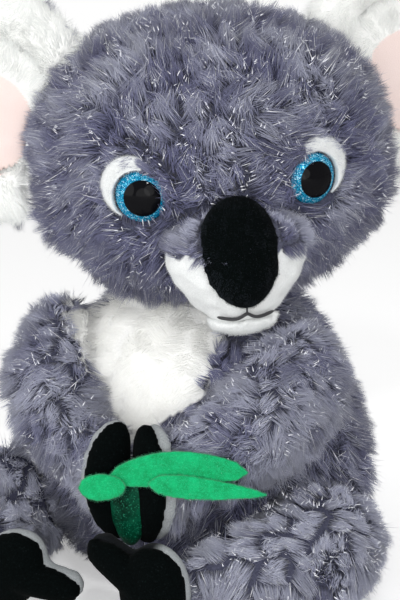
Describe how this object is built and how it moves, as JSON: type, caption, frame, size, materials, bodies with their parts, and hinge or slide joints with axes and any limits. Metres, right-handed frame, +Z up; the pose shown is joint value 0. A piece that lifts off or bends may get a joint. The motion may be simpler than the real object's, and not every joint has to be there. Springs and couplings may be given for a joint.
{
  "type": "plush koala",
  "caption": "Seated plush koala with a big turned head, round ears, glitter eyes and a bunch of felt leaves held between its hands.",
  "frame": {"origin": "middle of the flat base that the koala sits on, on the floor plane", "axes": "+Z up through the neck, -Y out of the chest, +X to the koala's own left; the head is turned 30 degrees to the koala's left"},
  "size_m": [0.3277, 0.2551, 0.3579],
  "materials": {
    "grey_plush": "long pile plush with tinsel threads",
    "white_plush": "long pile plush",
    "white_velour": "short pile velour",
    "pink_velour": "short pile velour",
    "black_velour": "short pile velour",
    "light_grey_velour": "short pile velour",
    "grey_cloth": "plain knit",
    "white_cloth": "plain weave",
    "black_thread": "thick embroidery thread",
    "green_felt": "felt",
    "dark_green_satin": "shiny woven cloth",
    "eye_plastic": "clear dome over blue glitter and a black pupil",
    "black_plastic": "moulded",
    "clear_plastic": "moulded, milky"
  },
  "bodies": {
    "torso": {"body_plush": "grey_plush", "bottom_panel": "grey_cloth", "pellet_bag": "white_cloth", "chest_bib": "white_plush"},
    "head": {"head_plush": "grey_plush", "muzzle": "white_velour", "lower_lip": "white_velour", "mouth_stitch": "black_thread", "nose": "black_velour", "left_eye_dome": "eye_plastic", "left_eye_stem": "black_plastic", "left_eye_washer": "clear_plastic", "left_eye_patch": "white_plush", "right_eye_dome": "eye_plastic", "right_eye_stem": "black_plastic", "right_eye_washer": "clear_plastic", "right_eye_patch": "white_plush"},
    "left_ear": {"left_ear_back": "grey_plush", "left_ear_front": "white_plush", "left_ear_lining": "pink_velour"},
    "right_ear": {"right_ear_back": "grey_plush", "right_ear_front": "white_plush", "right_ear_lining": "pink_velour"},
    "left_arm": {"left_arm": "grey_plush", "left_hand_edge": "light_grey_velour", "left_palm": "black_velour", "leaf_large": "green_felt", "leaf_small": "green_felt", "leaf_stalk": "green_felt", "leaf_dark": "dark_green_satin"},
    "right_arm": {"right_arm": "grey_plush", "right_hand_edge": "light_grey_velour", "right_palm": "black_velour"},
    "left_leg": {"left_leg": "grey_plush", "left_foot_edge": "light_grey_velour", "left_sole": "black_velour"},
    "right_leg": {"right_leg": "grey_plush", "right_foot_edge": "light_grey_velour", "right_sole": "black_velour"}
  },
  "joints": [
    {"name": "head_turn", "type": "hinge", "parent": "torso", "child": "head", "pos_m": [0, 0, 0.2435], "axis": [0, 0, 1], "range_deg": [-55, 3]},
    {"name": "left_ear_flex", "type": "hinge", "parent": "head", "child": "left_ear", "pos_m": [0.07785, 0.04689, 0.28021], "axis": [-0.3251, -0.1862, 0.9272], "range_deg": [-10, 10], "stiffness_Nm_per_rad": 0.2},
    {"name": "right_ear_flex", "type": "hinge", "parent": "head", "child": "right_ear", "pos_m": [-0.08418, -0.0459, 0.26388], "axis": [0.1804, 0.1033, 0.9781], "range_deg": [-10, 10], "stiffness_Nm_per_rad": 0.2},
    {"name": "left_arm_swing", "type": "hinge", "parent": "torso", "child": "left_arm", "pos_m": [0.062, -0.012, 0.132], "axis": [-1, 0, 0], "range_deg": [0, 12]},
    {"name": "right_arm_swing", "type": "hinge", "parent": "torso", "child": "right_arm", "pos_m": [-0.062, -0.012, 0.132], "axis": [-1, 0, 0], "range_deg": [0, 12]},
    {"name": "left_leg_swing", "type": "hinge", "parent": "torso", "child": "left_leg", "pos_m": [0.064, -0.042, 0], "axis": [0, 0, 1], "range_deg": [0, 15]},
    {"name": "right_leg_swing", "type": "hinge", "parent": "torso", "child": "right_leg", "pos_m": [-0.064, -0.042, 0], "axis": [0, 0, -1], "range_deg": [0, 15]}
  ],
  "couplings": [
    {"joint": "right_arm_swing", "follows": "left_arm_swing", "ratio": 1}
  ]
}
